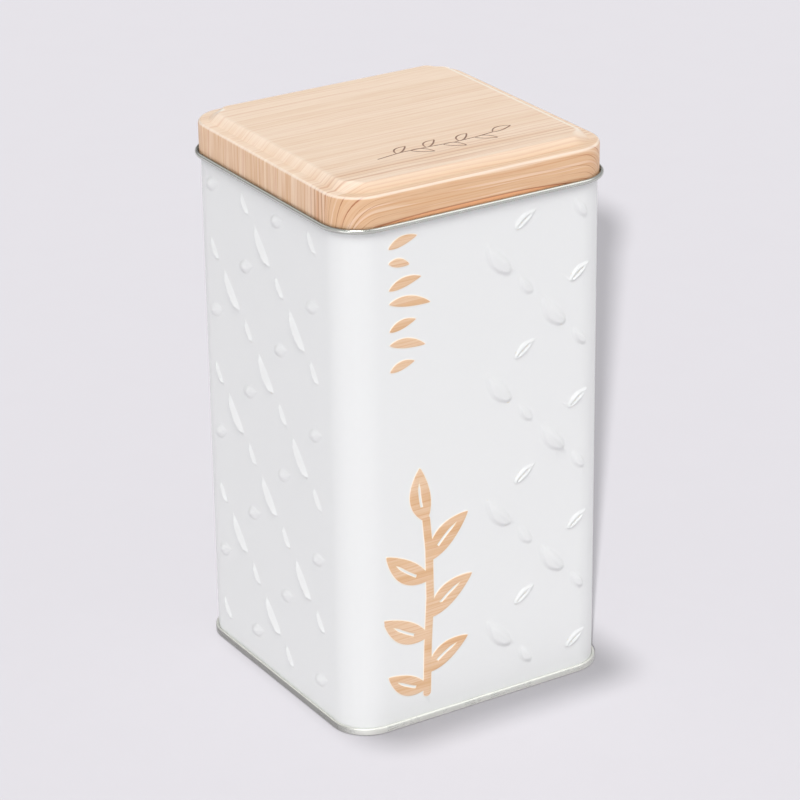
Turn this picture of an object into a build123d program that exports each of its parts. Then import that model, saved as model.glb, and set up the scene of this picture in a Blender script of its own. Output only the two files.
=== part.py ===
"""Tea tin with a slip-over lid, pressed and folded from tinplate sheet.

Millimetres, +Z up. The origin is the middle of the footprint, on the surface that the tin stands on.
The front is -Y, and the side seam of the body is in the middle of the back, +Y.
"""

import os

from build123d import *

# Body
body_width = 80.0
body_corner_radius = 9.5
total_height = 152.0
sheet = 0.25

# Bends across the sheet are drawn as flats, each turned this far from the last
bend_step = 30.0

# Top edge of the body, curled inwards
body_curl_bore_radius = 0.55
body_curl_turn = 270.0

# Lid
lid_slip_clearance = 0.2
lid_rest_clearance = 0.1
lid_skirt_height = 8.0
lid_edge_inner_radius = 0.65
lid_curl_bore_radius = 0.45
lid_curl_turn = 270.0
lid_panel_rise = 2.0
lid_slope_width = 2.2
lid_ledge_width = 2.6
lid_panel_margin = 1.0

# Double seam at the base
seam_height = 2.0
seam_gap = 0.04
seam_foot_inner_radius = 0.2
seam_hook_end_gap = 0.15

# Base panel
base_recess_depth = 3.0
base_recess_inner_radius = 0.6
base_border_width = 4.0
base_step_width = 1.2
base_step_rise = 0.7
base_panel_margin = 1.0

# Side seam in the middle of the back
side_seam_width = 3.2
side_seam_layers = 2
side_seam_end_gap = 1.0
side_seam_line_width = 0.3
side_seam_line_depth = 0.1

# Sheet faces of the double seam, as distances out from the body's outer face
cover_hook_face = seam_gap
body_hook_face = cover_hook_face + sheet + seam_gap
seam_wall_face = body_hook_face + sheet + seam_gap
seam_face = seam_wall_face + sheet
chuck_wall_face = -(sheet + seam_gap + sheet)
fold_radius = body_hook_face / 2
seam_top_radius = (seam_face - cover_hook_face) / 2
seam_foot_radius = seam_foot_inner_radius + sheet

# Heights in the double seam
seam_top_middle = seam_height - seam_top_radius
fold_middle = sheet + seam_gap + sheet + fold_radius
cover_hook_tip = fold_middle - fold_radius + seam_hook_end_gap

# Under side of the lid's sheet, as distances out from the body's outer face, and heights
lid_slope_foot = lid_slip_clearance - lid_ledge_width
lid_slope_head = lid_slope_foot - lid_slope_width
lid_panel_inset = lid_panel_margin - lid_slope_head
lid_panel_under = total_height - sheet
lid_ledge_under = lid_panel_under - lid_panel_rise
lid_edge_middle = (lid_slip_clearance - lid_edge_inner_radius, lid_ledge_under - lid_edge_inner_radius)
lid_curl_radius = lid_curl_bore_radius + sheet
lid_curl_middle = lid_ledge_under + sheet - lid_skirt_height - lid_curl_radius

# Top of the body, which the lid's ledge rests on
body_curl_radius = body_curl_bore_radius + sheet
body_top = lid_ledge_under - lid_rest_clearance
body_curl_middle = body_top - body_curl_radius

# Base panel places
base_step_foot = chuck_wall_face - base_border_width
base_step_head = base_step_foot - base_step_width
base_panel_inset = base_panel_margin - base_step_head
base_panel_height = base_recess_depth + base_step_rise
base_recess_middle = (chuck_wall_face - base_recess_inner_radius, base_recess_depth - base_recess_inner_radius)


def rounded_square(inset=0.0):
    """Plan of the body's outer face, or a plan that lies inset from it."""
    width = body_width - 2 * inset
    RectangleRounded(width, width, body_corner_radius - inset)


def section_plane(path):
    """Plane across the path at its start, with X pointing out of the tin and Y pointing up."""
    up = Vector(0, 0, 1)
    outward = up.cross(path % 0)
    if outward.dot(path @ 0) < 0:
        outward = -outward
    return Plane(origin=path @ 0, x_dir=outward, z_dir=outward.cross(up))


def bend(middle, radius, start, turn):
    """Points along a bend of the sheet, from a start angle through a turn in degrees."""
    flats = round(abs(turn) / bend_step)
    spoke = Vector(radius, 0)
    return [Vector(*middle) + spoke.rotate(Axis.Z, start + turn * flat / flats) for flat in range(flats + 1)]


# Every rim follows the body's plan
with BuildSketch() as body_plan:
    rounded_square()
rim_path = body_plan.sketch.wire()
rim_section = section_plane(rim_path)

# Body wall: one sheet from the hook in the base seam up to the curl under the lid
with BuildPart() as body_wall:
    with BuildSketch(rim_section):
        with BuildLine():
            Polyline(
                (body_hook_face, seam_top_middle),
                *bend((fold_radius, fold_middle), fold_radius, 0, -180),
                *bend((-body_curl_radius, body_curl_middle), body_curl_radius, 0, body_curl_turn),
            )
            offset(amount=sheet, side=Side.LEFT, kind=Kind.INTERSECTION)
        make_face()
    sweep(path=rim_path)

    # Inside the back wall the side seam is as many layers thicker as the sheet is folded
    side_seam_foot = base_recess_depth + sheet + side_seam_end_gap
    side_seam_head = body_top - 2 * body_curl_radius - side_seam_end_gap
    with BuildSketch(Plane.XY.offset(side_seam_foot)):
        with Locations((0, body_width / 2 - sheet)):
            Rectangle(side_seam_width, side_seam_layers * sheet, align=(Align.CENTER, Align.MAX))
    extrude(amount=side_seam_head - side_seam_foot)

    # Outside it shows as a fine line where the fold turns back
    with BuildSketch(Plane.XY.offset(seam_height)):
        with Locations((side_seam_width / 2, body_width / 2)):
            Rectangle(side_seam_line_width, 2 * side_seam_line_depth)
    extrude(amount=body_curl_middle - seam_height, mode=Mode.SUBTRACT)
body_wall.part.label = "body_wall"

# Base end: recessed panel, chuck wall inside the body, and the outer layers of the double seam
with BuildPart() as base_end:
    with BuildSketch(rim_section):
        with BuildLine():
            Polyline(
                (-base_panel_inset, base_panel_height),
                (base_step_head, base_panel_height),
                (base_step_foot, base_recess_depth),
                *bend(base_recess_middle, base_recess_inner_radius, 90, -90),
                *bend((chuck_wall_face + seam_foot_radius, seam_foot_radius), seam_foot_radius, 180, 90),
                *bend((seam_face - seam_foot_radius, seam_foot_radius), seam_foot_radius, 270, 90),
                *bend((seam_face - seam_top_radius, seam_top_middle), seam_top_radius, 0, 180),
                (cover_hook_face, cover_hook_tip),
            )
            offset(amount=sheet, side=Side.LEFT, kind=Kind.INTERSECTION)
        make_face()
    sweep(path=rim_path)
    with BuildSketch(Plane.XY.offset(base_panel_height)):
        rounded_square(base_panel_inset)
    extrude(amount=sheet)
base_end.part.label = "base_end"

# Lid: raised panel, sloping step, ledge, skirt, and an edge curled outwards
with BuildPart() as lid:
    with BuildSketch(rim_section):
        with BuildLine():
            Polyline(
                (-lid_panel_inset, lid_panel_under),
                (lid_slope_head, lid_panel_under),
                (lid_slope_foot, lid_ledge_under),
                *bend(lid_edge_middle, lid_edge_inner_radius, 90, -90),
                *bend((lid_slip_clearance + lid_curl_radius, lid_curl_middle), lid_curl_radius, 180, lid_curl_turn),
            )
            offset(amount=sheet, side=Side.LEFT, kind=Kind.INTERSECTION)
        make_face()
    sweep(path=rim_path)
    with BuildSketch(Plane.XY.offset(lid_panel_under)):
        rounded_square(lid_panel_inset)
    extrude(amount=sheet)
lid.part.label = "lid"

os.makedirs("parts", exist_ok=True)
export_step(body_wall.part, "parts/body_wall.step")
export_step(base_end.part, "parts/base_end.step")
export_step(lid.part, "parts/lid.step")
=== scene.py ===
"""Looks of the tea tin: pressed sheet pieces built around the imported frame, with light, floor and camera.

Lengths are in millimetres until a mesh is made, and in metres for the floor, the lamps and the camera.
+Z is up, and the front of the tin is -Y.
A place on the tin's wall is given by its way round the plan, from the left end of the front face, and
by its distance out from the body's outer face.
"""

import math

import bpy
import numpy as np
from mathutils import Matrix, Vector


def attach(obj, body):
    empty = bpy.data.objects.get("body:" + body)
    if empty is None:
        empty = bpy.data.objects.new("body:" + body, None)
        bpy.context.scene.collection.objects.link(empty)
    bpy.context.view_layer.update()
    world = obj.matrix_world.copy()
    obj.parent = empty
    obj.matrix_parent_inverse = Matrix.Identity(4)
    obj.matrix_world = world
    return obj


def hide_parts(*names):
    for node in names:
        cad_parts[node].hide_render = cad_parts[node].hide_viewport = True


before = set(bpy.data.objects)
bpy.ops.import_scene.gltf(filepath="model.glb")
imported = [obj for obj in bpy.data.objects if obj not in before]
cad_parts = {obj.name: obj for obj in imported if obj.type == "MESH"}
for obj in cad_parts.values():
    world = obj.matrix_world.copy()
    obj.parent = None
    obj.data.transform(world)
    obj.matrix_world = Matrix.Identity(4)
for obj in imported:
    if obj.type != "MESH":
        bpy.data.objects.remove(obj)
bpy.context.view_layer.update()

MM = 0.001

# Sizes of the tin, as the CAD has them
HALF_WIDTH = 40.0
CORNER_RADIUS = 9.5
TOTAL_HEIGHT = 152.0
SHEET = 0.25
BODY_CURL_RADIUS = 0.8
BODY_CURL_MIDDLE = 148.85
LID_SLIP = 0.2
LID_EDGE_INNER_RADIUS = 0.65
LID_CURL_RADIUS = 0.7
LID_CURL_MIDDLE = 141.3
LID_CURL_STEP = 18.0
LID_PANEL_UNDER = TOTAL_HEIGHT - SHEET
LID_LEDGE_UNDER = LID_PANEL_UNDER - 2.0
LID_SLOPE_FOOT = -2.4
LID_SLOPE_HEAD = -4.6
LID_CORNER_CUT = 1.3
SEAM_HEIGHT = 2.0
COVER_HOOK_FACE = 0.04
BODY_HOOK_FACE = 0.33
SEAM_FACE = 0.87
CHUCK_WALL_FACE = -0.54
SEAM_FOOT_RADIUS = 0.45
SEAM_TOP_RADIUS = (SEAM_FACE - COVER_HOOK_FACE) / 2
SEAM_TOP_MIDDLE = SEAM_HEIGHT - SEAM_TOP_RADIUS
FOLD_RADIUS = BODY_HOOK_FACE / 2
FOLD_MIDDLE = 0.705
COVER_HOOK_TIP = 0.69
BASE_RECESS_DEPTH = 3.0
BASE_RECESS_RADIUS = 0.6
BASE_STEP_FOOT = -4.54
BASE_STEP_HEAD = -5.74
BASE_PANEL_UNDER = 3.7
SIDE_SEAM_WIDTH = 3.2
SIDE_SEAM_DEPTH = 0.5
SIDE_SEAM_LINE_DEPTH = 0.1
SIDE_SEAM_FOOT = 4.25
SIDE_SEAM_HEAD = 147.05

# Plan of the wall
FLAT = 2 * (HALF_WIDTH - CORNER_RADIUS)
ARC = CORNER_RADIUS * math.pi / 2
SIDE = FLAT + ARC
PERIMETER = 4 * SIDE
FLAT_COLUMNS = 17
ARC_COLUMNS = 16
COLUMNS = 4 * (FLAT_COLUMNS + ARC_COLUMNS)
COLUMN_MARKS = np.concatenate(
    [
        side * SIDE
        + np.concatenate(
            [
                np.linspace(0, FLAT, FLAT_COLUMNS, endpoint=False),
                FLAT + np.linspace(0, ARC, ARC_COLUMNS, endpoint=False),
            ]
        )
        for side in range(4)
    ]
    + [[PERIMETER]]
)
FACES = {"front": 0, "right": 1, "back": 2, "left": 3}
FLAT_CELL = FLAT / FLAT_COLUMNS

# Sheet grid of the wall
GRID_FOOT = 3.0
GRID_HEAD = 147.0
GRID_ROWS = 40


def wall_points(way, out):
    """Plan places of points on the wall, and their outward directions."""
    way = np.mod(np.asarray(way, float), PERIMETER)
    out = np.asarray(out, float) + np.zeros_like(way)
    side = np.minimum((way // SIDE).astype(int), 3)
    along = way - side * SIDE
    on_flat = along <= FLAT
    angle = np.where(on_flat, 0.0, (along - FLAT) / CORNER_RADIUS)
    local_x = np.where(on_flat, along - FLAT / 2, FLAT / 2)
    normal_x, normal_y = np.sin(angle), -np.cos(angle)
    local_x = local_x + (CORNER_RADIUS + out) * normal_x
    local_y = -FLAT / 2 + (CORNER_RADIUS + out) * normal_y
    turn = side * math.pi / 2
    c, s = np.cos(turn), np.sin(turn)
    place = np.stack([c * local_x - s * local_y, s * local_x + c * local_y], -1)
    normal = np.stack([c * normal_x - s * normal_y, s * normal_x + c * normal_y], -1)
    return place, normal


def corner_share(way):
    """How far round a corner a place is: 0 on the flat faces and 1 in the middle of each corner."""
    along = np.mod(np.asarray(way, float), SIDE)
    return np.sin(math.pi * np.clip((along - FLAT) / ARC, 0, 1)) ** 2


def face_way(face, across):
    """Way round the plan of a place on a flat face.

    The place is given across the face from its middle, to the right as seen from outside.
    """
    return FACES[face] * SIDE + FLAT / 2 + across


# Sections of the sheet


def straight(*points):
    """Points of straight runs in a section."""
    return [np.array(p, float) for p in points]


def arc(middle, radius, start, turn, step=15.0):
    """Points along an arc in a section, from a start angle through a turn in degrees."""
    count = max(1, round(abs(turn) / step))
    angles = np.radians(start + turn * np.arange(count + 1) / count)
    return [np.array(middle) + radius * np.array([math.cos(a), math.sin(a)]) for a in angles]


def fillet(before, corner, after, radius, steps=5):
    """Points of a rounded corner between two straight runs in a section."""
    before, corner, after = (np.array(p, float) for p in (before, corner, after))
    a = (before - corner) / np.linalg.norm(before - corner)
    b = (after - corner) / np.linalg.norm(after - corner)
    half = math.acos(np.clip(a @ b, -1, 1)) / 2
    middle = corner + (a + b) / np.linalg.norm(a + b) * radius / math.sin(half)
    first = corner + a * radius / math.tan(half)
    last = corner + b * radius / math.tan(half)
    start = math.atan2(*(first - middle)[::-1])
    turn = math.remainder(math.atan2(*(last - middle)[::-1]) - start, 2 * math.pi)
    angles = start + turn * np.arange(steps + 1) / steps
    return [middle + radius * np.array([math.cos(t), math.sin(t)]) for t in angles]


def left_skin(points):
    """The sheet's other skin, one sheet thickness to the left of a section's points."""
    points = np.array(points)
    steps = np.diff(points, axis=0)
    steps /= np.linalg.norm(steps, axis=1)[:, None]
    ahead = np.vstack([steps, steps[-1]])
    behind = np.vstack([steps[0], steps])
    along = ahead + behind
    along /= np.linalg.norm(along, axis=1)[:, None]
    left = np.stack([-along[:, 1], along[:, 0]], -1)
    stretch = 1 / np.maximum(0.5, (along * ahead).sum(1))
    return points + left * SHEET * stretch[:, None]


def run_lengths(points):
    """Length along a section at each of its points."""
    return np.concatenate([[0], np.cumsum(np.linalg.norm(np.diff(points, axis=0), axis=1))])


# Mesh being built

# Depth in print where there is no print near
NO_PRINT = -9.0


class Sheet:
    """Vertices, faces and what is painted on them, gathered before the mesh is made."""

    def __init__(self):
        self.places, self.faces, self.finishes = [], [], []
        self.rolled, self.printed, self.inked, self.painted_light = [], [], [], []
        self.count = 0

    def add(self, places, rolled, printed=None, inked=None, painted_light=0.0):
        """Adds vertices and returns their numbers.

        rolled and printed are sheet coordinates, and inked is the depth in print. The last argument is
        painted light:
        how far print is painted pale as a painted highlight, or how far bare tin is painted dark as painted
        shade.
        """
        places = np.asarray(places, float).reshape(-1, 3)
        n = len(places)
        self.places.append(places)
        self.rolled.append(np.asarray(rolled, float).reshape(-1, 2))
        self.printed.append(np.asarray(rolled if printed is None else printed, float).reshape(-1, 2))
        self.inked.append(np.full(n, NO_PRINT) if inked is None else np.asarray(inked, float).reshape(-1))
        self.painted_light.append(np.full(n, painted_light))
        self.count += n
        return np.arange(self.count - n, self.count)

    def face(self, corners, finish):
        self.faces.append([int(c) for c in corners])
        self.finishes.append(finish)

    def rings(self, section, finishes, ways, printed_out=None, corner_cuts=None, painted_light=None):
        """Sweeps a section round the plan. Returns one row of vertex numbers for each of its points."""
        section = np.asarray(section, float)
        lengths = run_lengths(section)
        rows = []
        for k, (out, height) in enumerate(section):
            cut = corner_share(ways) * (0 if corner_cuts is None else corner_cuts[k])
            place, _ = wall_points(ways, out - cut)
            rolled = np.stack([ways, np.full(len(ways), lengths[k])], -1)
            printed = rolled
            if printed_out is not None:
                printed, _ = wall_points(ways, printed_out[k] - cut)
            places = np.column_stack([place, np.full(len(ways), height)])
            rows.append(self.add(places, rolled, printed, painted_light=0.0 if painted_light is None else painted_light[k]))
        for k in range(len(section) - 1):
            finish = finishes if isinstance(finishes, int) else finishes[k]
            self.band(rows[k], rows[k + 1], finish)
        return rows

    def band(self, low, high, finish):
        """Faces between two closed rings of as many vertices."""
        n = len(low)
        for i in range(n):
            j = (i + 1) % n
            self.face((low[i], low[j], high[j], high[i]), finish)

    def build(self, name, materials):
        """Makes the Blender object."""
        places = np.concatenate(self.places) * MM
        mesh = bpy.data.meshes.new(name)
        mesh.from_pydata(places.tolist(), [], self.faces)
        mesh.polygons.foreach_set("material_index", np.array(self.finishes, np.int32))
        mesh.polygons.foreach_set("use_smooth", np.ones(len(self.faces), bool))
        corner_vertices = np.empty(len(mesh.loops), np.int32)
        mesh.loops.foreach_get("vertex_index", corner_vertices)
        starts = np.empty(len(mesh.polygons), np.int32)
        mesh.polygons.foreach_get("loop_start", starts)
        totals = np.diff(np.append(starts, len(corner_vertices)))
        rolled = np.concatenate(self.rolled)[corner_vertices]
        # A face that closes the way round has its far corners one perimeter on
        most = np.repeat(np.maximum.reduceat(rolled[:, 0], starts), totals)
        rolled[most - rolled[:, 0] > PERIMETER / 2, 0] += PERIMETER
        printed = np.concatenate(self.printed)[corner_vertices]
        for title, values in (("rolled", rolled), ("printed", printed)):
            layer = mesh.uv_layers.new(name=title)
            layer.data.foreach_set("uv", values.astype(np.float32).ravel())
        for title, values in (("inked", self.inked), ("painted_light", self.painted_light)):
            attribute = mesh.attributes.new(title, "FLOAT", "POINT")
            attribute.data.foreach_set("value", np.concatenate(values).astype(np.float32))
        for material in materials:
            mesh.materials.append(material)
        mesh.validate()
        mesh.update()
        piece = bpy.data.objects.new(name, mesh)
        bpy.context.scene.collection.objects.link(piece)
        return piece


def split_cells(columns, rows, deepest, wanted):
    """Cells of a grid, each split in four as deep as wanted(column, row, size) asks.

    They are given in units of the finest cell.
    """
    full = 2**deepest
    grid = np.meshgrid(np.arange(columns), np.arange(rows), indexing="ij")
    column, row = (a.ravel() * full for a in grid)
    kept = []
    for level in range(deepest + 1):
        size = full >> level
        if level < deepest:
            asks = wanted(column + size / 2, row + size / 2, size) > level
        else:
            asks = np.zeros(len(column), bool)
        stay = ~asks
        kept.append(np.column_stack([column[stay], row[stay], np.full(stay.sum(), size)]))
        half = size // 2
        column, row = column[asks], row[asks]
        column = np.concatenate([column, column + half, column, column + half])
        row = np.concatenate([row, row, row + half, row + half])
    return np.concatenate(kept)


def cell_corners(cells, wrap):
    """Corner loops of split cells, with the corners that finer neighbours put on their edges."""
    wide = wrap or int((cells[:, 0] + cells[:, 2]).max()) + 1
    known = {}
    order = []

    def number(i, j):
        key = (i % wide, j)
        if key not in known:
            known[key] = len(order)
            order.append(key)
        return known[key]

    cells = [tuple(int(v) for v in cell) for cell in cells]
    for i, j, size in cells:
        for a, b in ((i, j), (i + size, j), (i + size, j + size), (i, j + size)):
            number(a, b)
    loops = []
    for i, j, size in cells:
        loop = []
        for a, b, step_a, step_b in (
            (i, j, 1, 0),
            (i + size, j, 0, 1),
            (i + size, j + size, -1, 0),
            (i, j + size, 0, -1),
        ):
            for k in range(size):
                key = ((a + k * step_a) % wide, b + k * step_b)
                if key in known:
                    loop.append(known[key])
        loops.append(loop)
    return np.array(order), loops, known


# Pattern of pressed leaves and the printed sprigs


# Share of a flat leaf's length at which it is widest
FLAT_LEAF_WIDEST = 0.45


def leaf_inside(points, start, tip, half_width, bow):
    """Depth inside a leaf's outline, share of the way to its tip, and distance across it.

    Negative depth is outside.
    """
    start, tip = np.array(start, float), np.array(tip, float)
    length = float(np.linalg.norm(tip - start))
    along = (tip - start) / length
    side = np.array([-along[1], along[0]])
    rel = points - start
    share = rel @ along / length
    held = np.clip(share, 0, 1)
    across = rel @ side - bow * length * 4 * held * (1 - held)
    power = math.log(0.5) / math.log(FLAT_LEAF_WIDEST)
    width = half_width * np.sin(math.pi * held**power) ** 0.8
    beyond = np.abs(share - held) * length
    return width - np.abs(across) - beyond, share, across


def smooth(value, low, high):
    """Eased step from 0 to 1."""
    t = np.clip((value - low) / (high - low), 0, 1)
    return t * t * (3 - 2 * t)


LEAF_PITCH_ACROSS = 16.87
LEAF_PITCH_UP = 17.72
LEAF_TOP_ROW = 134.7
LEAF_ROWS = 8
# No leaf is nearer to the left edge of a face, to the side seam or to the foot than this
LEAF_EDGE = -28
LEAF_SEAM_ROOM = 4
LEAF_FOOT_ROOM = 8

# Each kind of pressed leaf: direction from its blunt end to its tip in degrees, length, half width,
# height, share of that height at the tip, share of the length at which it is widest, how far it bows
LEAF_KINDS = {
    "bud": (33.0, 7.6, 1.45, 0.58, 0.6, 0.42, 0.035),
    "dot": (20.0, 7.0, 1.7, 0.84, 0.45, 0.42, 0.02),
    "leaf": (128.0, 11.6, 2.1, 0.88, 0.75, 0.42, 0.06),
    "chip": (124.0, 6.6, 1.3, 0.66, 0.75, 0.42, 0.05),
    "crescent": (128.0, 12.2, 1.5, 0.94, 0.8, 0.45, 0.07),
    "sliver": (124.0, 6.8, 1.0, 0.68, 0.8, 0.45, 0.06),
}
# The leaves of the two sides are other than those of the front and back, and slant over to one edge
SIDE_KINDS = {"bud": "dot", "leaf": "crescent", "chip": "sliver"}
RIB_DEPTHS = {"bud": 0.42, "leaf": 0.3, "chip": 0.2}
RIB_HALF = 0.24


def pressed_leaves():
    """Every pressed leaf as its face, kind and middle."""
    leaves = []
    columns = {
        "left": (-27.0, -10.13, 6.74, 23.61),
        "right": (-27.0, -10.13, 6.74, 23.61),
        "front": (13.4, 30.27),
        "back": (-27.6, -10.73, 10.73, 27.6),
    }
    for face, marks in columns.items():
        for c, across in enumerate(marks):
            for r in range(LEAF_ROWS):
                height = LEAF_TOP_ROW - r * LEAF_PITCH_UP
                is_bud = (c + r) % 2 == 0
                kinds = ["bud" if is_bud else "chip", "leaf"]
                if face in ("left", "right"):
                    kinds = [SIDE_KINDS[kind] for kind in kinds]
                leaves.append((face, kinds[0], across, height))
                beside = across - LEAF_PITCH_ACROSS / 2
                below = height - LEAF_PITCH_UP / 2
                clear_of_seam = face != "back" or abs(beside) > LEAF_SEAM_ROOM
                if is_bud and beside > LEAF_EDGE and clear_of_seam and below > LEAF_FOOT_ROOM:
                    leaves.append((face, kinds[1], beside, below))
    return leaves


PRESSED = pressed_leaves()


def leaf_height(points, kind):
    """Height of a pressed leaf at points given from its middle, and depth inside its outline."""
    degrees, length, half_width, top, tip_share, widest, bow = LEAF_KINDS[kind]
    direction = np.array([math.cos(math.radians(degrees)), math.sin(math.radians(degrees))])
    share = points @ direction / length + 0.5
    held = np.clip(share, 0, 1)
    sideways = points @ np.array([-direction[1], direction[0]])
    across = sideways - bow * length * 4 * held * (1 - held)
    blunt = np.clip(1 - ((widest - held) / widest) ** 2, 0, 1) ** 0.62
    taper = np.cos(math.pi / 2 * np.clip((held - widest) / (1 - widest), 0, 1)) ** 1.15
    width = half_width * np.where(held < widest, blunt, taper)
    inside = width - np.abs(across) - np.abs(share - held) * length
    edge = 0.3 + 0.25 * width
    dome = 1 - (1 - np.clip(inside / edge, 0, 1)) ** 2
    lift = 1 - (1 - tip_share) * smooth(held, 0.25, 1.0)
    if kind in ("leaf", "chip"):
        dome = 0.5 * dome + 0.5 * np.sqrt(np.clip(inside / half_width, 0, 1))
    if kind in ("crescent", "sliver"):
        # One long flank rises to a crest near the lower left edge and drops steeply there
        place = np.clip(across / np.maximum(width, 0.05), -1, 1)
        over = np.clip((place - 0.65) / 0.35, 0, 1)
        dome = np.minimum((place + 1) / 1.65, 1) * np.sqrt(1 - over * over)
        dome = dome * np.minimum(1, width / (0.6 * half_width)) * smooth(inside, 0.0, 0.12)
    if kind == "dot":
        # A smaller round boss stands on the leaf
        boss = np.hypot((share - 0.36) * length, across - 0.15)
        dome = 0.75 * np.sqrt(1 - (1 - np.clip(inside / half_width, 0, 1)) ** 2)
        dome = dome + 0.3 * (1 - smooth(boss, 0.4, 1.0))
    # A rib is pressed back in along the middle of some kinds
    if kind == "bud":
        rib = smooth(held, 0.02, 0.12) * (1 - smooth(held, 0.6, 0.75))
    else:
        rib = 1 - smooth(held, 0.35, 0.6)
    rib = rib * np.exp(-((across / RIB_HALF) ** 2)) * smooth(inside, 0.0, 0.3)
    return top * lift * dome - RIB_DEPTHS.get(kind, 0.0) * rib, inside


# Printed sprig in the lower left of the front face: stem, and leaves from start to tip with half width.
# A slit is left unprinted along the middle of each leaf
SPRIG_STEM = [(-17.6, 8.0), (-17.2, 22.0), (-16.4, 36.0), (-16.6, 50.0), (-17.4, 58.5)]
SPRIG_STEM_HALF = 1.15
SPRIG_SLIT_HALF = 0.42
SPRIG_LEAVES = [
    ((-17.4, 58.0), (-19.2, 73.5), 3.1),
    ((-16.6, 46.5), (-4.6, 57.6), 3.1),
    ((-16.6, 41.0), (-29.6, 50.8), 3.1),
    ((-16.6, 30.0), (-3.4, 39.4), 3.1),
    ((-17.2, 24.5), (-30.8, 32.6), 3.1),
    ((-17.4, 14.0), (-4.8, 21.4), 2.8),
    ((-17.6, 9.5), (-29.4, 15.6), 2.8),
]
# Column of seven small printed leaves in the upper left of the front face
MARK_LEFT = -27.6
MARK_TOP = 136.2
MARK_PITCH = 5.55
# Length, half width, and slope in degrees
MARK_SIZES = [
    (8.6, 1.25, 14),
    (6.2, 1.15, -12),
    (9.6, 1.3, 12),
    (12.2, 1.4, -9),
    (8.0, 1.2, 14),
    (10.6, 1.3, -10),
    (7.4, 1.15, 13),
]
PRINT_RISE = 0.22


def segment_inside(points, a, b, half):
    """Depth inside a round-ended stroke."""
    a, b = np.array(a, float), np.array(b, float)
    run = b - a
    t = np.clip((points - a) @ run / (run @ run), 0, 1)
    return half - np.linalg.norm(points - a - t[:, None] * run, axis=1)


def front_print(points):
    """Depth inside the print on the front face at places across and up it. Negative depth is outside."""
    inside = np.full(len(points), NO_PRINT)
    for a, b in zip(SPRIG_STEM, SPRIG_STEM[1:]):
        inside = np.maximum(inside, segment_inside(points, a, b, SPRIG_STEM_HALF))
    for start, tip, half in SPRIG_LEAVES:
        leaf, share, across = leaf_inside(points, start, tip, half, 0.06)
        slit = np.abs(across) - SPRIG_SLIT_HALF * (1 - smooth(share, 0.6, 0.8))
        slit = np.where((share > 0.26) & (share < 0.8), slit, -NO_PRINT)
        inside = np.maximum(inside, np.minimum(leaf, slit))
    for k, (length, half, degrees) in enumerate(MARK_SIZES):
        height = MARK_TOP - k * MARK_PITCH
        direction = np.array([math.cos(math.radians(degrees)), math.sin(math.radians(degrees))])
        start = np.array([MARK_LEFT, height - direction[1] * length / 2])
        leaf, _, _ = leaf_inside(points, start, start + direction * length, half, 0.05)
        inside = np.maximum(inside, leaf)
    return inside


def wall_relief(way, height, reach=0.0):
    """Height of the pressing, depth in print, and how often a cell that reaches so far is to be split."""
    way = np.mod(way, PERIMETER)
    relief = np.zeros(len(way))
    inked = np.full(len(way), NO_PRINT)
    asked = np.zeros(len(way))
    for face, kind, across, middle in PRESSED:
        length = LEAF_KINDS[kind][1]
        du = way - face_way(face, across)
        dz = height - middle
        near = (np.abs(du) < length * 0.6 + reach + 2) & (np.abs(dz) < length * 0.6 + reach + 2)
        if not near.any():
            continue
        points = np.column_stack([du[near], dz[near]])
        rise, inside = leaf_height(points, kind)
        relief[near] = np.maximum(relief[near], np.where(inside > 0, rise, 0))
        level = np.where(inside > -0.15 - reach, 3, np.where(inside > -0.7 - reach, 2, 0))
        if kind == "bud":
            level = np.where((inside > -0.1 - reach * 0.5) & (reach < 0.4), 4, level)
        if kind in ("dot", "crescent", "sliver"):
            level = np.where((np.abs(inside - 0.1) < 0.16 + reach * 0.5) & (reach < 0.4), 4, level)
        asked[near] = np.maximum(asked[near], level)
    on_front = way < FLAT
    across = way - FLAT / 2
    near = on_front & (across < 2 + reach) & (height < 142)
    if near.any():
        points = np.column_stack([across[near], height[near]])
        inside = front_print(points)
        inked[near] = inside
        relief[near] = np.maximum(relief[near], PRINT_RISE * smooth(inside, -0.35, 0.25))
        level = np.where(np.abs(inside) < 0.25 + reach, 4, np.where(np.abs(inside) < 0.8 + reach, 2, 0))
        asked[near] = np.maximum(asked[near], level)
    # Fine line outside the side seam
    off = np.abs(way - face_way("back", -SIDE_SEAM_WIDTH / 2))
    relief = relief - SIDE_SEAM_LINE_DEPTH * (1 - smooth(off, 0.05, 0.22))
    asked = np.maximum(asked, np.where(off < 0.25 + reach, 4, 0))
    return relief, inked, asked


def seam_depth(way, height, reach=0.0):
    """How far the side seam stands in from the wall's inner skin, and how finely it needs to be drawn."""
    off = np.abs(np.mod(way, PERIMETER) - face_way("back", 0))
    ends = np.minimum(height - SIDE_SEAM_FOOT, SIDE_SEAM_HEAD - height)
    edge = np.minimum(SIDE_SEAM_WIDTH / 2 - off, ends)
    asked = np.where(np.abs(edge) < 0.2 + reach, 3, 0)
    return SIDE_SEAM_DEPTH * smooth(edge, -0.12, 0.12), asked


def grid_way(column, full):
    """Way round the plan of a place in the wall's grid."""
    return np.interp(column / full, np.arange(COLUMNS + 1), COLUMN_MARKS)


def grid_height(row, full):
    """Height of a place in the wall's grid."""
    return GRID_FOOT + (GRID_HEAD - GRID_FOOT) * row / full / GRID_ROWS


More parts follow.
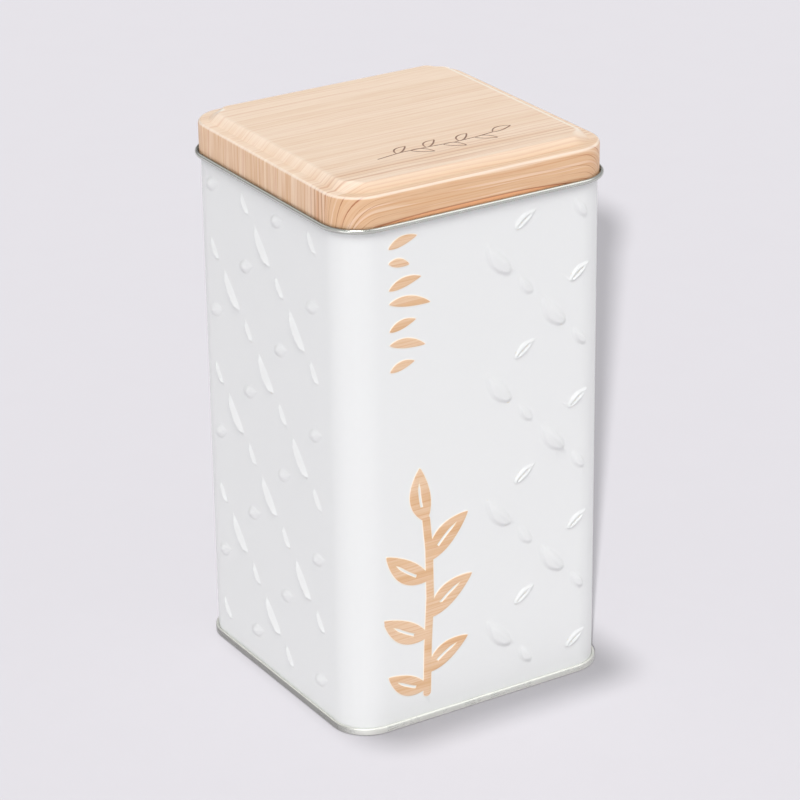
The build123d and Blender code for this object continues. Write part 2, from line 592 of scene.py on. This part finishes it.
def add_wall_skin(sheet, deepest, inner, finish):
    """Adds one skin of the wall as a split grid. Returns its lowest and highest rings of vertices."""
    full = 2**deepest

    def wanted(column, row, size):
        way, height = grid_way(column, full), grid_height(row, full)
        reach = size / full * FLAT_CELL * 0.62
        if inner:
            _, asked = seam_depth(way, height, reach)
            _, _, leaves = wall_relief(way, height, reach)
            asked = np.maximum(asked, np.clip(leaves - 1, 0, 2))
        else:
            _, _, asked = wall_relief(way, height, reach)
        at_rim = (row < full) | (row > (GRID_ROWS - 1) * full)
        return np.where(at_rim, 0, np.minimum(asked, deepest))

    cells = split_cells(COLUMNS, GRID_ROWS, deepest, wanted)
    order, loops, known = cell_corners(cells, COLUMNS * full)
    way, height = grid_way(order[:, 0], full), grid_height(order[:, 1], full)
    relief, inked, _ = wall_relief(way, height)
    out = relief
    if inner:
        depth, _ = seam_depth(way, height)
        out = np.maximum(relief, 0) - SHEET - depth
        inked = None
    place, _ = wall_points(way, out)
    printed = np.column_stack([np.mod(way, PERIMETER), height])
    numbers = sheet.add(np.column_stack([place, height]), printed, printed, inked)
    for loop in loops:
        corners = numbers[loop]
        sheet.face(corners[::-1] if inner else corners, finish)
    low = numbers[[known[(i * full, 0)] for i in range(COLUMNS)]]
    high = numbers[[known[(i * full, GRID_ROWS * full)] for i in range(COLUMNS)]]
    return low, high


ENAMEL, BARE = 0, 1


def make_body(materials):
    """The body: one sheet from the hook in the base seam up to the curl, with its pressed leaves."""
    sheet = Sheet()
    ways = COLUMN_MARKS[:-1]
    foot = (
        straight((BODY_HOOK_FACE, SEAM_TOP_MIDDLE))
        + arc((FOLD_RADIUS, FOLD_MIDDLE), FOLD_RADIUS, 0, -180, 30)
        + straight((0, SEAM_HEIGHT + 0.2))
    )
    foot_inner = left_skin(foot)
    head = straight((0, BODY_CURL_MIDDLE - 0.8)) + arc(
        (-BODY_CURL_RADIUS, BODY_CURL_MIDDLE), BODY_CURL_RADIUS, 0, 270, 22.5
    )
    head_inner = left_skin(head)
    low, high = add_wall_skin(sheet, 4, False, ENAMEL)
    low_inner, high_inner = add_wall_skin(sheet, 4, True, BARE)
    finishes = [BARE] * len(foot) + [ENAMEL] * (len(foot) - 1)
    rows = sheet.rings(np.vstack([foot_inner[::-1], foot]), finishes, ways)
    sheet.band(rows[-1], low, ENAMEL)
    sheet.band(low_inner, rows[0], BARE)
    rows = sheet.rings(np.vstack([head, head_inner[::-1]]), BARE, ways)
    sheet.band(high, rows[0], ENAMEL)
    sheet.band(rows[-1], high_inner, BARE)
    return sheet.build("body_shell", materials)


def add_panel(sheet, ring, height, facing_up, finish, deepest=0, wanted=None, relief=None):
    """Closes a rounded-square ring with a flat square between the corners' centres, and corner fans."""

    def add_face(corners):
        sheet.face(corners if facing_up else corners[::-1], finish)

    full = 2**deepest
    cells = split_cells(FLAT_COLUMNS, FLAT_COLUMNS, deepest, wanted)
    order, loops, known = cell_corners(cells, 0)
    plan = (order / full * FLAT_CELL) - FLAT / 2
    drop, inked = np.zeros(len(plan)), None
    if relief:
        drop, inked = relief(plan)
    places = np.column_stack([plan, height - drop])
    numbers = sheet.add(places, plan, plan, inked)
    for loop in loops:
        add_face(numbers[loop])
    last = FLAT_COLUMNS * full
    sides = [
        [(i * full, 0) for i in range(FLAT_COLUMNS + 1)],
        [(last, i * full) for i in range(FLAT_COLUMNS + 1)],
        [(last - i * full, last) for i in range(FLAT_COLUMNS + 1)],
        [(0, last - i * full) for i in range(FLAT_COLUMNS + 1)],
    ]
    for side, keys in enumerate(sides):
        edge = numbers[[known[key] for key in keys]]
        begin = side * (FLAT_COLUMNS + ARC_COLUMNS)
        rim = [ring[(begin + i) % COLUMNS] for i in range(FLAT_COLUMNS + ARC_COLUMNS + 1)]
        for i in range(FLAT_COLUMNS):
            add_face((rim[i], rim[i + 1], edge[i + 1], edge[i]))
        for i in range(FLAT_COLUMNS, FLAT_COLUMNS + ARC_COLUMNS):
            add_face((rim[i], rim[i + 1], edge[-1]))


def left_share(ways):
    """How far a place is on the left side: 1 all over its flat face and 0 on the others."""
    return smooth(ways, 3 * SIDE - ARC, 3 * SIDE) * (1 - smooth(ways, 4 * SIDE - ARC, 4 * SIDE - ARC / 3))


# Ring at which the swept rim of the base and of the lid meets the flat panel
PANEL_RING = -8.6


def make_base(materials):
    """The base pressing: recessed panel, chuck wall inside the body, and the seam's outer layers."""
    sheet = Sheet()
    ways = COLUMN_MARKS[:-1]
    panel = (PANEL_RING, BASE_PANEL_UNDER)
    step_head = (BASE_STEP_HEAD, BASE_PANEL_UNDER)
    step_foot = (BASE_STEP_FOOT, BASE_RECESS_DEPTH)
    recess = (CHUCK_WALL_FACE - BASE_RECESS_RADIUS, BASE_RECESS_DEPTH)
    path = (
        straight(panel)
        + fillet(panel, step_head, step_foot, 0.7)
        + fillet(step_head, step_foot, recess, 0.7)
        + arc((recess[0], BASE_RECESS_DEPTH - BASE_RECESS_RADIUS), BASE_RECESS_RADIUS, 90, -90, 18)
        + arc((CHUCK_WALL_FACE + SEAM_FOOT_RADIUS, SEAM_FOOT_RADIUS), SEAM_FOOT_RADIUS, 180, 90)
        + arc((SEAM_FACE - SEAM_FOOT_RADIUS, SEAM_FOOT_RADIUS), SEAM_FOOT_RADIUS, 270, 90)
        + arc((SEAM_FACE - SEAM_TOP_RADIUS, SEAM_TOP_MIDDLE), SEAM_TOP_RADIUS, 0, 180)
        + straight((COVER_HOOK_FACE, COVER_HOOK_TIP))
    )
    upper = left_skin(path)
    outline = np.vstack([path, upper[::-1]])
    # Painted shade: the seam's outer face is painted dark on the left side, and all round at its foot
    outer = smooth(outline[:, 0], 0.2, 0.4)
    below_top = outer * (1 - smooth(outline[:, 1], SEAM_HEIGHT - 0.3, SEAM_HEIGHT))
    at_foot = outer * (1 - smooth(outline[:, 1], 0.1, 0.35))
    painted_light = np.maximum(0.85 * below_top[:, None] * left_share(ways), 0.8 * at_foot[:, None])
    rows = sheet.rings(outline, 0, ways, painted_light=painted_light)
    add_panel(sheet, rows[0], BASE_PANEL_UNDER, False, 0)
    add_panel(sheet, rows[-1], BASE_PANEL_UNDER + SHEET, True, 0)
    return sheet.build("base_pressing", materials)


WOOD, LID_TIN = 0, 1

# Fine engraved sprig on the lid: stem points, then leaves from start to tip with half width
ENGRAVED_HALF = 0.23
ENGRAVED_DEPTH = 0.13
ENGRAVED_STEM = [
    (-19.5, -22.6),
    (-12.0, -21.4),
    (-4.0, -21.6),
    (4.0, -22.2),
    (11.0, -21.8),
    (16.0, -21.0),
]
ENGRAVED_LEAVES = [
    ((-13.4, -21.6), (-8.8, -18.0), 1.15),
    ((-9.2, -21.4), (-4.4, -25.2), 1.15),
    ((-4.6, -21.6), (0.0, -17.8), 1.2),
    ((0.2, -22.0), (4.8, -25.8), 1.2),
    ((5.0, -22.2), (9.6, -18.2), 1.2),
    ((9.8, -22.0), (14.6, -25.2), 1.15),
    ((16.0, -21.0), (22.4, -19.2), 1.25),
]


def engraved_line(points):
    """Depth inside the engraved line on the lid. Negative depth is outside."""
    inside = np.full(len(points), NO_PRINT)
    for a, b in zip(ENGRAVED_STEM, ENGRAVED_STEM[1:]):
        inside = np.maximum(inside, segment_inside(points, a, b, ENGRAVED_HALF))
    for start, tip, half in ENGRAVED_LEAVES:
        leaf, _, _ = leaf_inside(points, start, tip, half, 0.08)
        inside = np.maximum(inside, ENGRAVED_HALF - np.abs(leaf))
    return inside


def make_lid(materials):
    """The lid: raised panel, sloping step, ledge, skirt and an edge curled outwards."""
    sheet = Sheet()
    ways = COLUMN_MARKS[:-1]
    panel = (PANEL_RING, LID_PANEL_UNDER)
    head = (LID_SLOPE_HEAD, LID_PANEL_UNDER)
    foot = (LID_SLOPE_FOOT, LID_LEDGE_UNDER)
    ledge = (LID_SLIP - LID_EDGE_INNER_RADIUS, LID_LEDGE_UNDER)
    edge_middle = (ledge[0], LID_LEDGE_UNDER - LID_EDGE_INNER_RADIUS)
    curl = arc((LID_SLIP + LID_CURL_RADIUS, LID_CURL_MIDDLE), LID_CURL_RADIUS, 180, 270, LID_CURL_STEP)
    under = (
        straight(panel, (LID_SLOPE_HEAD - 0.9, LID_PANEL_UNDER))
        + fillet(panel, head, foot, 0.5)
        + fillet(head, foot, ledge, 0.8)
        + arc(edge_middle, LID_EDGE_INNER_RADIUS, 90, -90)
        + straight((LID_SLIP, LID_CURL_MIDDLE + 4.2), (LID_SLIP, LID_CURL_MIDDLE + 0.9))
        + curl
    )
    over = left_skin(under)
    lengths = run_lengths(over)
    count = len(under)
    # The print stops where the edge begins to curl
    curl_start = count - len(curl)
    outline = np.vstack([under, over[::-1]])
    printed_out = np.concatenate([PANEL_RING + run_lengths(under), (PANEL_RING + lengths)[::-1]])
    finishes = [LID_TIN] * (count + len(curl) - 1) + [WOOD] * curl_start
    cuts = LID_CORNER_CUT * smooth(outline[:, 0], LID_SLOPE_FOOT + 0.5, LID_SLOPE_HEAD + 0.2)
    cuts[[0, -1]] = 0
    # Painted highlight: the print is painted pale along the outer edge of the ledge, and less along the
    # panel's edge except on the right side and at the back left corner
    ledge_edge = np.hypot(outline[:, 0] - 0.17, outline[:, 1] - LID_LEDGE_UNDER + 0.02)
    panel_edge = np.hypot(outline[:, 0] - LID_SLOPE_HEAD - 0.1, outline[:, 1] - TOTAL_HEIGHT)
    ledge_highlight = 1 - smooth(ledge_edge, 0.15, 0.5)
    panel_highlight = 1.8 * (1 - smooth(panel_edge, 0.3, 0.6))
    right_end = 2 * SIDE - ARC
    right_side = smooth(ways, FLAT, SIDE + 3) * (1 - smooth(ways, right_end, right_end + ARC / 2))
    back_corner = 1 - smooth(np.abs(ways - 3 * SIDE + ARC / 2), 1.5, 4.0)
    weight = np.maximum(0.2, np.maximum(right_side, back_corner))
    painted_light = np.maximum(ledge_highlight[:, None], panel_highlight[:, None] * weight)
    # Painted shade: the underside of the curl and the crease above it are painted dark, most on the left
    # side
    around = 180 + LID_CURL_STEP * (np.arange(count) - curl_start)
    curl_shade = np.maximum(1 - smooth(around, 310, 350), smooth(around, 405, 440)) * (around >= 180)
    painted_light[:count] = np.maximum(painted_light[:count], curl_shade[:, None] * (0.4 + 0.6 * left_share(ways)))
    rows = sheet.rings(outline, finishes, ways, printed_out, cuts, painted_light)
    add_panel(sheet, rows[0], LID_PANEL_UNDER, False, LID_TIN)
    deepest = 5
    full = 2**deepest

    def wanted(column, row, size):
        plan = np.column_stack([column, row]) / full * FLAT_CELL - FLAT / 2
        reach = size / full * FLAT_CELL * 0.75
        inside = engraved_line(plan)
        return np.where(inside > -0.22 - reach, deepest, np.where(inside > -1.0 - reach, 3, 0))

    def relief(plan):
        inside = engraved_line(plan)
        return ENGRAVED_DEPTH * smooth(inside, -0.06, 0.14), inside

    add_panel(sheet, rows[-1], TOTAL_HEIGHT, True, WOOD, deepest, wanted, relief)
    return sheet.build("lid_pressing", materials)


# Materials


class Nodes:
    """Short calls for making the nodes of a material or of the world."""

    def __init__(self, owner):
        owner.use_nodes = True
        self.owner = owner
        self.tree = owner.node_tree
        self.tree.nodes.clear()

    def set(self, socket, value):
        if isinstance(value, bpy.types.NodeSocket):
            self.tree.links.new(value, socket)
        elif value is not None:
            socket.default_value = value

    def math(self, operation, *values):
        node = self.tree.nodes.new("ShaderNodeMath")
        node.operation = operation
        for socket, value in zip(node.inputs, values):
            self.set(socket, value)
        return node.outputs[0]

    def plus(self, a, b):
        return self.math("ADD", a, b)

    def times(self, product, *others):
        for other in others:
            product = self.math("MULTIPLY", product, other)
        return product

    def uv(self, name):
        node = self.tree.nodes.new("ShaderNodeUVMap")
        node.uv_map = name
        return node.outputs[0]

    def parts(self, vector):
        node = self.tree.nodes.new("ShaderNodeSeparateXYZ")
        self.set(node.inputs[0], vector)
        return node.outputs[0], node.outputs[1], node.outputs[2]

    def join(self, x, y, z=0.0):
        node = self.tree.nodes.new("ShaderNodeCombineXYZ")
        for socket, value in zip(node.inputs, (x, y, z)):
            self.set(socket, value)
        return node.outputs[0]

    def noise(self, vector, scale=1.0, detail=2.0, rough=0.5):
        node = self.tree.nodes.new("ShaderNodeTexNoise")
        self.set(node.inputs["Vector"], vector)
        node.inputs["Scale"].default_value = scale
        node.inputs["Detail"].default_value = detail
        node.inputs["Roughness"].default_value = rough
        return node.outputs[0]

    def ease(self, value, low, high, out_low=0.0, out_high=1.0):
        node = self.tree.nodes.new("ShaderNodeMapRange")
        node.interpolation_type = "SMOOTHSTEP"
        self.set(node.inputs[0], value)
        for socket, number in zip(node.inputs[1:5], (low, high, out_low, out_high)):
            socket.default_value = number
        return node.outputs[0]

    def mix(self, share, a, b):
        node = self.tree.nodes.new("ShaderNodeMix")
        node.data_type = "RGBA"
        self.set(node.inputs[0], share)
        for socket, value in ((node.inputs[6], a), (node.inputs[7], b)):
            self.set(socket, value if isinstance(value, bpy.types.NodeSocket) else (*value, 1.0))
        return node.outputs[2]

    def paint(self, colour, tint, *shares):
        """The colour with a share of a tint laid over it."""
        return self.mix(self.times(*shares), colour, tint)

    def bump(self, height, strength, distance):
        node = self.tree.nodes.new("ShaderNodeBump")
        node.inputs["Strength"].default_value = strength
        node.inputs["Distance"].default_value = distance
        self.set(node.inputs["Height"], height)
        return node.outputs[0]

    def attribute(self, name):
        node = self.tree.nodes.new("ShaderNodeAttribute")
        node.attribute_name = name
        return node.outputs["Fac"]

    def surface(self, colour, roughness, metallic=0.0, normal=None, **constants):
        node = self.tree.nodes.new("ShaderNodeBsdfPrincipled")
        self.set(node.inputs["Base Color"], colour)
        self.set(node.inputs["Roughness"], roughness)
        node.inputs["Metallic"].default_value = metallic
        self.set(node.inputs["Normal"], normal)
        for title, value in constants.items():
            node.inputs[title].default_value = value
        return self.end("ShaderNodeOutputMaterial", node)

    def end(self, kind, node):
        """Links the last node to the output, and gives the material or world."""
        output = self.tree.nodes.new(kind)
        self.tree.links.new(node.outputs[0], output.inputs["Surface"])
        return self.owner


def material_nodes(name):
    return Nodes(bpy.data.materials.new(name))


def rgb(*levels):
    """Linear colour of 0-255 screen levels."""
    return tuple(((v / 255 + 0.055) / 1.055) ** 2.4 if v > 10.3 else v / 255 / 12.92 for v in levels)


PALE_WOOD = rgb(246, 223, 200)
TAN_WOOD = rgb(232, 200, 168)
DEEP_WOOD = rgb(220, 178, 136)
ORANGE_WOOD = rgb(252, 182, 130)
HIGHLIGHT_WOOD = rgb(252, 240, 226)
GRAIN_LINE = rgb(206, 142, 98)
DARK_GRAIN = rgb(172, 96, 56)
PRINT_RIM_HIGHLIGHT = rgb(250, 236, 212)
ENGRAVING = rgb(120, 78, 58)
SHADE_ON_TIN = (0.09, 0.085, 0.08)

# Places on the lid's print, as distances from its middle: where the print ends at the curl, and where the
# ledge turns down into the skirt
LID_PRINT_REACH = 48.8
LID_LEDGE_PLACE = 41.0


def wood_colour(n, across_grain, along_grain, on_lid):
    """Colour of the printed wood, and its fibre.

    The grain runs along one sheet direction, and its tones change across it.
    """

    def stretched(along_scale, line, line_scale, seed, detail=2.0, rough=0.5):
        place = n.join(n.times(along_grain, along_scale), n.times(line, line_scale), seed)
        return n.noise(place, 1.0, detail, rough)

    def growth(line, pitch, wander, width, seed, faintest=0.1):
        """Lines across the grain at an uneven pitch, each with one crisp side."""
        roam = stretched(0.01, line, 0.3 / pitch, seed)
        saw = n.math("FRACT", n.plus(n.times(line, 1 / pitch), n.times(roam, wander)))
        lines = n.times(n.ease(saw, 0.02, width, 1.0, 0.0), n.ease(saw, 0.0, 0.05))
        patches = stretched(0.012, line, 0.8 / pitch, seed + 2.1, 1.0)
        return n.times(lines, n.ease(patches, 0.36, 0.62, faintest, 1.0))

    drift = stretched(0.018, across_grain, 0.05, 0.0)
    line = n.plus(across_grain, n.times(n.math("SUBTRACT", drift, 0.5), 2.6))
    tone = stretched(0.006, line, 0.3, 3.7, 3.0, 0.6)
    fibre = stretched(0.09, line, 2.4, 8.1, 3.0, 0.7)
    if not on_lid:
        colour = n.mix(n.ease(tone, 0.4, 0.66), TAN_WOOD, DEEP_WOOD)
        colour = n.paint(colour, DEEP_WOOD, n.ease(fibre, 0.42, 0.66), 0.45)
        return n.paint(colour, GRAIN_LINE, growth(line, 0.9, 2.0, 0.4, 5.2), 0.5), fibre
    # The top is palest. The skirt and the front show more of the grain
    beyond = [
        n.math("MAXIMUM", n.math("SUBTRACT", n.math("ABSOLUTE", way), FLAT / 2), 0.0)
        for way in (along_grain, across_grain)
    ]
    side = n.math("SQRT", n.plus(*(n.times(b, b) for b in beyond)))
    skirt = n.ease(side, LID_LEDGE_PLACE - FLAT / 2 - 0.6, LID_LEDGE_PLACE - FLAT / 2 + 0.2)
    front = n.ease(line, -14.0, -30.0)
    ends = n.times(skirt, n.ease(across_grain, -34.0, -30.0))
    strength = n.plus(0.48, n.math("MAXIMUM", n.times(skirt, 0.45), n.times(front, 0.2)))
    colour = n.mix(n.times(n.ease(tone, 0.4, 0.66), strength), PALE_WOOD, TAN_WOOD)
    colour = n.paint(colour, DEEP_WOOD, n.math("SUBTRACT", n.times(skirt, 0.85), n.times(ends, 0.5)))
    colour = n.paint(colour, GRAIN_LINE, n.ease(fibre, 0.42, 0.7), strength, 0.3)
    stripe = n.ease(stretched(0.01, line, 0.42, 6.6, 3.0, 0.65), 0.46, 0.54)
    colour = n.paint(colour, DEEP_WOOD, stripe, ends, 0.55)
    colour = n.paint(colour, GRAIN_LINE, growth(line, 4.2, 1.6, 0.3, 7.7), strength, 0.5)
    colour = n.paint(colour, GRAIN_LINE, growth(line, 1.7, 1.8, 0.34, 2.9), strength, 0.6)
    # Pale streaks between the lines
    pale = n.ease(stretched(0.015, line, 0.6, 9.4, 2.0, 0.6), 0.54, 0.64)
    colour = n.paint(colour, PALE_WOOD, pale, 0.45)
    # Painted shade: the front slope is painted darker. It has fine grain lines too
    slope = n.times(n.ease(across_grain, -34.8, -35.6), n.math("SUBTRACT", 1.0, skirt))
    colour = n.paint(colour, TAN_WOOD, slope, 0.7)
    colour = n.paint(colour, GRAIN_LINE, slope, growth(line, 1.15, 0.8, 0.5, 12.3, 0.6), 0.45)
    # Growth rings that sweep round the front corners and arch along the front skirt
    low = n.ease(across_grain, -34.0, -44.0)
    arched = n.plus(line, n.times(along_grain, along_grain, 0.0013, low))
    corner = n.ease(n.math("ABSOLUTE", along_grain), 24.0, 36.0, 0.3, 1.0)
    wander = stretched(0.02, arched, 0.3, 1.3, 1.0)
    saw = n.math("FRACT", n.plus(n.times(arched, 0.46), n.times(wander, 2.0)))
    ring = n.times(n.ease(saw, 0.02, 0.12, 1.0, 0.0), n.ease(saw, 0.0, 0.02))
    colour = n.paint(colour, DARK_GRAIN, ring, skirt, corner, n.ease(line, -31.5, -33.0), 0.95)
    # Group of dark lines a little behind the front edge
    group = n.times(n.ease(line, -23.5, -26.0), n.ease(line, -33.0, -31.5))
    close = growth(line, 1.75, 0.8, 0.45, 4.4, 0.7)
    colour = n.paint(colour, DARK_GRAIN, group, close, n.plus(0.35, n.times(skirt, 0.6)))
    # Orange band along the lower edge of the front skirt, under a dark line
    band_top = 0.85 - LID_PRINT_REACH
    band = n.times(n.ease(arched, band_top, band_top - 0.25), n.ease(along_grain, 30.0, 22.0))
    colour = n.paint(colour, ORANGE_WOOD, band, 0.65)
    above = n.ease(arched, band_top + 0.2, band_top)
    below = n.ease(arched, band_top - 0.35, band_top - 0.1)
    colour = n.paint(colour, DARK_GRAIN, above, below, 0.75)
    # Painted highlight: pale paint is laid on the marked edges of the print
    return n.paint(colour, HIGHLIGHT_WOOD, n.attribute("painted_light"), 0.6), fibre


def enamel_material():
    n = material_nodes("white_enamel")
    across, up, _ = n.parts(n.uv("rolled"))
    inked = n.attribute("inked")
    cloud = n.noise(n.join(n.times(across, 0.03), n.times(up, 0.02), 4.0))
    white = n.mix(cloud, (0.785, 0.792, 0.786), (0.80, 0.807, 0.80))
    wood, _ = wood_colour(n, up, across, False)
    # Painted highlight: a cream rim is painted just outside the print, on its raised edge
    colour = n.paint(white, PRINT_RIM_HIGHLIGHT, n.ease(inked, -0.28, -0.12), 0.75)
    colour = n.mix(n.ease(inked, -0.05, 0.05), colour, wood)
    rough = n.plus(0.4, n.times(cloud, 0.05))
    peel = n.noise(n.join(across, up), 1.1)
    return n.surface(colour, rough, normal=n.bump(peel, 0.05, 0.0002), IOR=1.45)


def tin_material(name, tint, roughness, metallic=1.0):
    """Bare tinplate, rolled round the tin, with faint stains, and painted shade where the sheet marks it.
    """
    n = material_nodes(name)
    across, up, _ = n.parts(n.uv("rolled"))
    rolling = n.noise(n.join(n.times(across, 0.25), n.times(up, 14.0), 1.0), 1.0, 3.0, 0.6)
    stain = n.noise(n.join(n.times(across, 0.12), n.times(up, 0.12), 6.0), 1.0, 3.0)
    colour = n.mix(stain, [0.93 * t for t in tint], [1.06 * t for t in tint])
    # Painted shade: the tin is painted dark where the sheet marks it
    colour = n.paint(colour, SHADE_ON_TIN, n.attribute("painted_light"), 0.8)
    rough = n.ease(rolling, 0.3, 0.7, roughness - 0.04, roughness + 0.06)
    rough = n.plus(rough, n.ease(stain, 0.4, 0.7, 0.0, 0.05))
    return n.surface(colour, rough, metallic, n.bump(rolling, 0.06, 0.00006))


def wood_material():
    n = material_nodes("wood_print")
    along, across, _ = n.parts(n.uv("printed"))
    colour, fibre = wood_colour(n, across, along, True)
    colour = n.paint(colour, ENGRAVING, n.ease(n.attribute("inked"), -0.05, 0.05), 0.85)
    rough = n.ease(fibre, 0.3, 0.7, 0.42, 0.5)
    return n.surface(colour, rough, normal=n.bump(fibre, 0.08, 0.00008), IOR=1.45)


def floor_material():
    n = material_nodes("studio_floor")
    geometry = n.tree.nodes.new("ShaderNodeNewGeometry")
    grain = n.noise(geometry.outputs["Position"], 60.0, 3.0)
    colour = n.mix(grain, (0.246, 0.239, 0.252), (0.25, 0.243, 0.256))
    return n.surface(colour, 0.9, IOR=1.3)


enamel = enamel_material()
tin = tin_material("bare_tinplate", (0.61, 0.62, 0.575), 0.19)
base_tin = tin_material("base_tinplate", (0.83, 0.835, 0.78), 0.28, 0.6)
lining = tin_material("tin_lining", (0.8, 0.77, 0.68), 0.42)
wood = wood_material()

body = make_body([enamel, lining])
base = make_base([base_tin])
lid = make_lid([wood, tin])

for piece, node, carrier, finish in (
    (body, "body_wall", "tin", "white_enamel"),
    (base, "base_end", "tin", "bare_tinplate"),
    (lid, "lid", "lid", "wood_print"),
):
    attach(piece, carrier)
    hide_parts(node)

# Floor
FLOOR_HALF = 6.0
floor_corners = [(x * FLOOR_HALF, y * FLOOR_HALF, 0) for x, y in ((-1, -1), (1, -1), (1, 1), (-1, 1))]
floor_mesh = bpy.data.meshes.new("floor")
floor_mesh.from_pydata(floor_corners, [], [(0, 1, 2, 3)])
floor_mesh.materials.append(floor_material())
floor = bpy.data.objects.new("floor", floor_mesh)
bpy.context.scene.collection.objects.link(floor)


def towards(azimuth, elevation):
    """Direction from the tin to a place at that azimuth and elevation, as the camera's are counted."""
    a, e = math.radians(azimuth), math.radians(elevation)
    return Vector((math.sin(a) * math.cos(e), -math.cos(a) * math.cos(e), math.sin(e)))


def add_lamp(data, azimuth, elevation, distance=0.0):
    """Puts a lamp in the scene that shines from that side on the middle of the tin."""
    lamp = bpy.data.objects.new(data.name, data)
    back = towards(azimuth, elevation)
    lamp.location = Vector((0, 0, 0.07)) + back * distance
    lamp.rotation_mode = "QUATERNION"
    lamp.rotation_quaternion = back.to_track_quat("Z", "Y")
    bpy.context.scene.collection.objects.link(lamp)
    return lamp


def soft_box(name, azimuth, elevation, distance, size, power):
    """A square lamp that looks at the tin."""
    data = bpy.data.lights.new(name, "AREA")
    data.shape = "SQUARE"
    data.size = size
    data.energy = power
    return add_lamp(data, azimuth, elevation, distance)


def sun(name, azimuth, elevation, level, softness):
    """A distant lamp. At level 1 it alone shows a surface that faces it in the colour that is written."""
    data = bpy.data.lights.new(name, "SUN")
    data.energy = level * math.pi
    data.angle = math.radians(softness)
    return add_lamp(data, azimuth, elevation)


# Three distant lamps and a soft box light only the tin. Two more distant lamps light only the floor, so
# that the tin's shadow is nearly as dark as in the photograph while the tin itself stays evenly lit
tin_only = bpy.data.collections.new("tin_only")
for piece in (body, base, lid):
    tin_only.objects.link(piece)
floor_only = bpy.data.collections.new("floor_only")
floor_only.objects.link(floor)
for lamp in (
    sun("key_sun", -37.5, 52, 0.46, 28),
    sun("left_rim_sun", -159, 33, 0.05, 40),
    sun("right_sun", 48, 48, 0.15, 45),
    soft_box("left_box", -62, 8, 0.45, 0.2, 0.15),
):
    lamp.light_linking.receiver_collection = tin_only
for lamp in (
    sun("floor_key_sun", -36.9, 23.5, 3.15, 1.8),
    sun("floor_top_sun", -155, 86, 1.35, 6),
):
    lamp.light_linking.receiver_collection = floor_only

# The room is brighter overhead, with broad soft light from the front right, the left and the back right
world = bpy.data.worlds.new("studio")
bpy.context.scene.world = world
studio = Nodes(world)
room = studio.tree.nodes.new("ShaderNodeTexCoord").outputs["Generated"]
_, _, upward = studio.parts(room)
strength = studio.ease(upward, 0.0, 0.75, 0.12, 0.25)
for azimuth, level in ((30, 0.55), (-85, 0.56), (135, 0.4)):
    facing = studio.tree.nodes.new("ShaderNodeVectorMath")
    facing.operation = "DOT_PRODUCT"
    studio.set(facing.inputs[0], room)
    facing.inputs[1].default_value = towards(azimuth, 15)
    ahead = studio.math("MAXIMUM", facing.outputs["Value"], 0.0)
    strength = studio.plus(strength, studio.times(ahead, ahead, level))
background = studio.tree.nodes.new("ShaderNodeBackground")
background.inputs["Color"].default_value = (0.985, 0.99, 1.0, 1)
studio.set(background.inputs["Strength"], strength)
studio.end("ShaderNodeOutputWorld", background)

# Camera, from the edges of the tin in the photograph
CAMERA_AZIMUTH = -31.69
CAMERA_PITCH = 23.709
CAMERA_ROLL = -0.758
CAMERA_TARGET = Vector((-0.000587, -0.000831, 0.073688))
CAMERA_DISTANCE = 0.86106
CAMERA_SENSOR = 36.0
CAMERA_LENS = 144.674
camera_data = bpy.data.cameras.new("camera")
camera_data.sensor_width = CAMERA_SENSOR
camera_data.lens = CAMERA_LENS
camera = bpy.data.objects.new("camera", camera_data)
bpy.context.scene.collection.objects.link(camera)
bpy.context.scene.camera = camera
back = towards(CAMERA_AZIMUTH, CAMERA_PITCH)
right = Vector((math.cos(math.radians(CAMERA_AZIMUTH)), math.sin(math.radians(CAMERA_AZIMUTH)), 0))
up = back.cross(right)
roll = math.radians(CAMERA_ROLL)
camera_x = right * math.cos(roll) + up * math.sin(roll)
camera_y = -right * math.sin(roll) + up * math.cos(roll)
place = CAMERA_TARGET + back * CAMERA_DISTANCE
rows = [[*row, at] for row, at in zip(zip(camera_x, camera_y, back), place)]
camera.matrix_world = Matrix([*rows, [0, 0, 0, 1]])

bpy.context.scene.view_settings.view_transform = "Standard"
